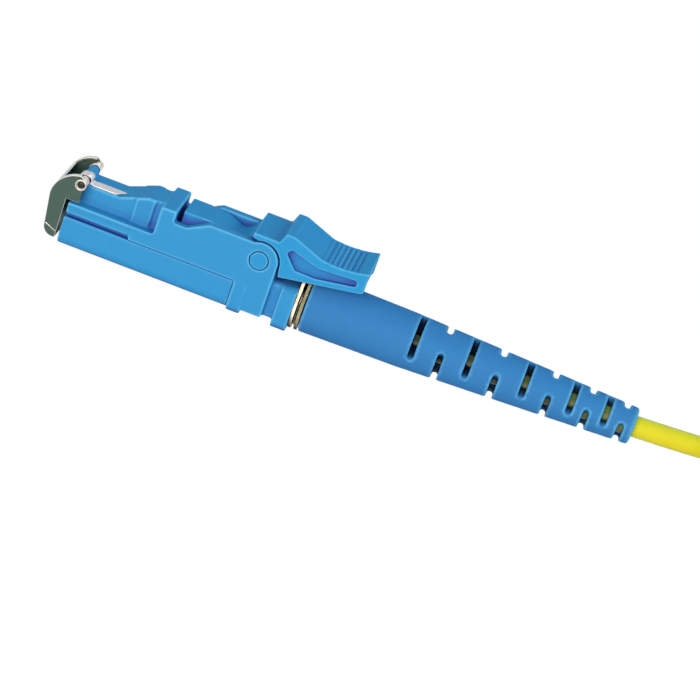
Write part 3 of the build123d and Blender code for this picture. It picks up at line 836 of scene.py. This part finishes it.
bush_profile = [
    (knuckle_half + bush_gap, bush_inner),
    (knuckle_half + bush_gap, bush_outer),
    (housing_half + bush_proud, bush_outer),
    (housing_half + bush_proud, bush_inner),
]
bush_mesh = lathe("bush", bush_profile, bush_facets)
fold = bmesh.new()
fold_run = Vector(fold_line[1]) - Vector(fold_line[0])
fold_middle = (Vector(fold_line[0]) + Vector(fold_line[1])) / 2
fold_half = fold_run.length / 2
fold_outline = [
    (-fold_half, -fold_height / 2),
    (fold_half, -fold_height / 2),
    (fold_half, fold_height / 2),
    (-fold_half, fold_height / 2),
]
fold_turn = Matrix.Rotation(atan2(fold_run.y, fold_run.x), 4, "Z")
stand = Matrix.Rotation(radians(90), 4, "X")
for side in (-1, 1):
    outside = side * (housing_half + fold_lift)
    centre = Matrix.Translation(Vector((fold_middle.x, outside, fold_middle.y)) * mm)
    prism(fold, fold_outline, fold_depth, centre @ stand @ fold_turn)
bmesh.ops.recalc_face_normals(fold, faces=fold.faces)
fold_mesh = bpy.data.meshes.new("fold")
fold.to_mesh(fold_mesh)
fold.free()
for prefix in plugs:
    for side, name in ((-1, "hinge_bush_right"), (1, "hinge_bush_left")):
        turned = bush_mesh.copy()
        turned.transform(
            Matrix.Translation(Vector((hinge_centre[0], 0, hinge_centre[1])) * mm)
            @ Matrix.Rotation(side * radians(90), 4, "Z")
        )
        plug_piece(prefix, name, turned, bush_metal, 0.03, "shutter")
    plug_piece(prefix, "shutter_fold", fold_mesh, bush_metal, 0.02, "shutter")

# %% [markdown]
# ## Inner pieces
# The holder, the fibre's buffer, the crimp sleeve and the cable's end sit inside the plug.
# Only glints of them show through the boot's slots, so the modelled solids stay and take a better finish.
# The cable's end is a darker, greener copy of the jacket's yellow: painted shade for the dim inside of the
# boot.

# %% Inner pieces
inner_finishes = {
    "ferrule_holder": pin_painted_shade,
    "buffer": buffer_coat,
    "crimp_sleeve": sleeve_metal,
    "cable_stub": inner_yellow_painted_shade,
}
for prefix in plugs:
    for node, material in inner_finishes.items():
        solid = nodes[prefix + node]
        for slot_number in range(len(solid.material_slots)):
            solid.material_slots[slot_number].material = material
print(len(inner_finishes) * len(plugs), "inner pieces keep their solids")

# %% [markdown]
# The spring behind the ferrule, which shortens when the ferrule is pressed in, is wound anew as a round wire
# that fills the modelled spring's box.

# %% Ferrule's spring
spring_turns = 6
spring_wire = 0.3
turn_steps = 28
wire_sides = 8


def coil_mesh(low, high):
    """A helix of round wire that fills a box along its X axis."""
    wire = spring_wire / 2 * mm
    middle = (low + high) / 2
    radius = (high.z - low.z) / 2 - wire
    shape = bmesh.new()
    rows = []
    steps = spring_turns * turn_steps
    for step in range(steps + 1):
        angle = tau * step / turn_steps
        outwards = Vector((0, cos(angle), sin(angle)))
        x = low.x + wire + (high.x - low.x - 2 * wire) * step / steps
        centre = Vector((x, middle.y, middle.z)) + outwards * radius
        bends = [tau * side / wire_sides for side in range(wire_sides)]
        ring = [centre + outwards * cos(bend) * wire + Vector((sin(bend) * wire, 0, 0)) for bend in bends]
        rows.append([shape.verts.new(point) for point in ring])
    for row, following in zip(rows, rows[1:]):
        for k in range(wire_sides):
            after = (k + 1) % wire_sides
            shape.faces.new((row[k], row[after], following[after], following[k]))
    shape.faces.new(reversed(rows[0]))
    shape.faces.new(rows[-1])
    bmesh.ops.recalc_face_normals(shape, faces=shape.faces)
    mesh = bpy.data.meshes.new("coil")
    shape.to_mesh(mesh)
    shape.free()
    for face in mesh.polygons:
        face.use_smooth = len(face.vertices) == 4
    return mesh


for prefix in plugs:
    low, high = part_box(prefix + "ferrule_spring")
    coil = new_piece(prefix + "ferrule_spring_skin", coil_mesh(low, high), spring_metal)
    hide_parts(prefix + "ferrule_spring")
    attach(coil, body_of[prefix + "ferrule_spring"])
    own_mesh(coil)
    dressed[prefix + "ferrule_spring"] = coil

# %% [markdown]
# ## Ridged collar
# The bright collar between the housing and the boot is a turned ring with fine ridges for
# the crimping tool. They repeat round an axis, which is what Geometry Nodes do well: points
# on a circle, one small ridge on each, then real mesh again because the export needs it.

# %% Ridges round the collar
def geometry_tree(name, inputs):
    """A Geometry Nodes tree with named float inputs and one mesh output."""
    tree = bpy.data.node_groups.new(name, "GeometryNodeTree")
    for label, default in inputs.items():
        kind = "NodeSocketInt" if isinstance(default, int) else "NodeSocketFloat"
        tree.interface.new_socket(label, in_out="INPUT", socket_type=kind).default_value = default
    tree.interface.new_socket("Material", in_out="INPUT", socket_type="NodeSocketMaterial")
    tree.interface.new_socket("Mesh", in_out="OUTPUT", socket_type="NodeSocketGeometry")
    return tree, tree.nodes.new("NodeGroupInput"), tree.nodes.new("NodeGroupOutput")


ridge_ring, ring_in, ring_out = geometry_tree(
    "ridge ring", {"Count": 44, "Radius": 2.8 * mm, "Length": 0.3 * mm, "Thickness": 0.12 * mm}
)
circle = ridge_ring.nodes.new("GeometryNodeMeshCircle")
ridge_ring.links.new(ring_in.outputs["Count"], circle.inputs["Vertices"])
ridge_ring.links.new(ring_in.outputs["Radius"], circle.inputs["Radius"])
ridge = ridge_ring.nodes.new("GeometryNodeMeshCylinder")
ridge.inputs["Vertices"].default_value = 8
ridge_ring.links.new(ring_in.outputs["Thickness"], ridge.inputs["Radius"])
ridge_ring.links.new(ring_in.outputs["Length"], ridge.inputs["Depth"])
place_ridges = ridge_ring.nodes.new("GeometryNodeInstanceOnPoints")
ridge_ring.links.new(circle.outputs["Mesh"], place_ridges.inputs["Points"])
ridge_ring.links.new(ridge.outputs["Mesh"], place_ridges.inputs["Instance"])
realize = ridge_ring.nodes.new("GeometryNodeRealizeInstances")
ridge_ring.links.new(place_ridges.outputs["Instances"], realize.inputs["Geometry"])
set_material = ridge_ring.nodes.new("GeometryNodeSetMaterial")
ridge_ring.links.new(realize.outputs["Geometry"], set_material.inputs["Geometry"])
ridge_ring.links.new(ring_in.outputs["Material"], set_material.inputs["Material"])
ridge_ring.links.new(set_material.outputs["Geometry"], ring_out.inputs["Mesh"])


def from_tree(name, tree, values):
    """The plain mesh that a Geometry Nodes tree makes with these input values."""
    piece = bpy.data.objects.new(name, bpy.data.meshes.new(name))
    bpy.context.scene.collection.objects.link(piece)
    modifier = piece.modifiers.new("repeat", "NODES")
    modifier.node_group = tree
    for item in tree.interface.items_tree:
        if item.in_out == "INPUT" and item.name in values:
            modifier[item.identifier] = values[item.name]
    return as_mesh(piece)


collar_radius = 2.85
collar_length = 0.95
ridge_count = 150
ridge_thickness = 0.07
ridge_length = 0.28
ridge_place = 0.32
# The rear ring takes the darker copy of the collar metal as painted shade.
collar_rings = (
    (-1, "collar_ridges_front", collar_metal),
    (1, "collar_ridges_rear", collar_painted_shade),
)
for prefix in plugs:
    low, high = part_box(prefix + "crimp_body")
    axis_y = (low.y + high.y) / 2
    axis_z = (low.z + high.z) / 2
    direction = -1 if prefix else 1
    edge_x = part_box(prefix + "housing_frame")[1 if direction > 0 else 0].x
    for side, name, metal in collar_rings:
        values = {
            "Count": ridge_count,
            "Radius": (collar_radius - ridge_thickness / 2) * mm,
            "Length": ridge_length * mm,
            "Thickness": ridge_thickness * mm,
            "Material": metal,
        }
        ridges = from_tree(prefix + name, ridge_ring, values)
        middle = edge_x + direction * (collar_length / 2 + side * collar_length * ridge_place) * mm
        ridges.data.transform(
            Matrix.Translation((middle, axis_y, axis_z)) @ Matrix.Rotation(radians(90), 4, "Y")
        )
        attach(ridges, body_of[prefix + "crimp_body"])
        dressed[prefix + name] = ridges
print("collar ridges", len(dressed["collar_ridges_front"].data.polygons), "faces a ring")

# %% [markdown]
# ## The cord
# Once everything on the cable exists, it takes its finish and rides on the near plug's body, and the pieces
# that sit on it are gathered in a list. It stands for the three plain solids that hold its place in the
# model, which are hidden.

# %% The cord's finish and place
cable.data.materials.append(jacket_yellow)
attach(cable, "root")
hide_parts("cable_lead", "cable_hank", "cable_tail")
on_the_cord = [piece for name, piece in dressed.items() if name.startswith(("far_", "hank_tie"))]
on_the_cord += ["far_" + node for node in inner_finishes]

# %% [markdown]
# ## Floor, lights and background
# The photograph has a bare white background and soft light from the camera's side, so
# the sides are brighter than the tops. A blue sky keeps the tops deep in tone, and a lamp
# beyond the cable's end lights the slopes that face it. The floor is white to the camera and
# in reflections, and a small part of its real shading stays, for a faint shadow.

# %% Floor
floor_mesh = bpy.data.meshes.new("floor")
floor_half = 1.5
corners = [(x * floor_half, y * floor_half, 0) for x, y in ((-1, -1), (1, -1), (1, 1), (-1, 1))]
floor_mesh.from_pydata(corners, [], [(0, 1, 2, 3)])
floor = bpy.data.objects.new("floor", floor_mesh)
bpy.context.scene.collection.objects.link(floor)


def seen_share(tree, share):
    """A share that counts only for camera, glossy and transmission rays."""
    path = tree.nodes.new("ShaderNodeLightPath")
    total = path.outputs["Is Camera Ray"]
    for label in ("Is Glossy Ray", "Is Transmission Ray"):
        larger = tree.nodes.new("ShaderNodeMath")
        larger.operation = "MAXIMUM"
        tree.links.new(total, larger.inputs[0])
        tree.links.new(path.outputs[label], larger.inputs[1])
        total = larger.outputs[0]
    scaled = tree.nodes.new("ShaderNodeMath")
    scaled.operation = "MULTIPLY"
    scaled.inputs[1].default_value = share
    tree.links.new(total, scaled.inputs[0])
    return scaled.outputs[0]


floor_white = bpy.data.materials.new("floor white")
floor_white.use_nodes = True
tree = floor_white.node_tree
tree.nodes.clear()
matt = tree.nodes.new("ShaderNodeBsdfDiffuse")
matt.inputs["Color"].default_value = (0.85, 0.85, 0.85, 1)
glow = tree.nodes.new("ShaderNodeEmission")
glow.inputs["Strength"].default_value = 1.06
blend = tree.nodes.new("ShaderNodeMixShader")
output = tree.nodes.new("ShaderNodeOutputMaterial")
tree.links.new(seen_share(tree, 0.92), blend.inputs["Fac"])
tree.links.new(matt.outputs[0], blend.inputs[1])
tree.links.new(glow.outputs[0], blend.inputs[2])
tree.links.new(blend.outputs[0], output.inputs["Surface"])
floor_mesh.materials.append(floor_white)

# %% World and lamps
world = bpy.data.worlds.new("studio")
bpy.context.scene.world = world
world.use_nodes = True
tree = world.node_tree
sky = tree.nodes["Background"]
sky.inputs["Color"].default_value = (0.48, 0.92, 1.10, 1)
sky.inputs["Strength"].default_value = 0.42
backdrop = tree.nodes.new("ShaderNodeBackground")
backdrop.inputs["Strength"].default_value = 1
blend = tree.nodes.new("ShaderNodeMixShader")
tree.links.new(seen_share(tree, 1.0), blend.inputs["Fac"])
tree.links.new(sky.outputs[0], blend.inputs[1])
tree.links.new(backdrop.outputs[0], blend.inputs[2])
tree.links.new(blend.outputs[0], tree.nodes["World Output"].inputs["Surface"])


def soft_lamp(name, place, size, level, colour):
    """A square lamp that faces the plug and lights a facing surface at the given level."""
    lamp = bpy.data.objects.new(name, bpy.data.lights.new(name, "AREA"))
    lamp.data.shape = "SQUARE"
    lamp.data.size = size
    lamp.location = place
    lamp.rotation_euler = (-Vector(place)).to_track_quat("-Z", "Y").to_euler()
    lamp.data.energy = level * pi**2 * Vector(place).length_squared
    lamp.data.color = colour
    bpy.context.scene.collection.objects.link(lamp)
    return lamp


soft_lamp("front lamp", (-0.10, -0.42, 0.09), 0.30, 0.74, (1.28, 1.0, 0.88))
soft_lamp("rear lamp", (0.12, 0.35, 0.30), 0.25, 0.08, (0.6, 0.95, 1.1))
soft_lamp("right lamp", (0.40, -0.06, 0.20), 0.25, 0.30, (0.6, 0.98, 1.1))

# %% Render settings
bpy.context.scene.view_settings.view_transform = "Standard"
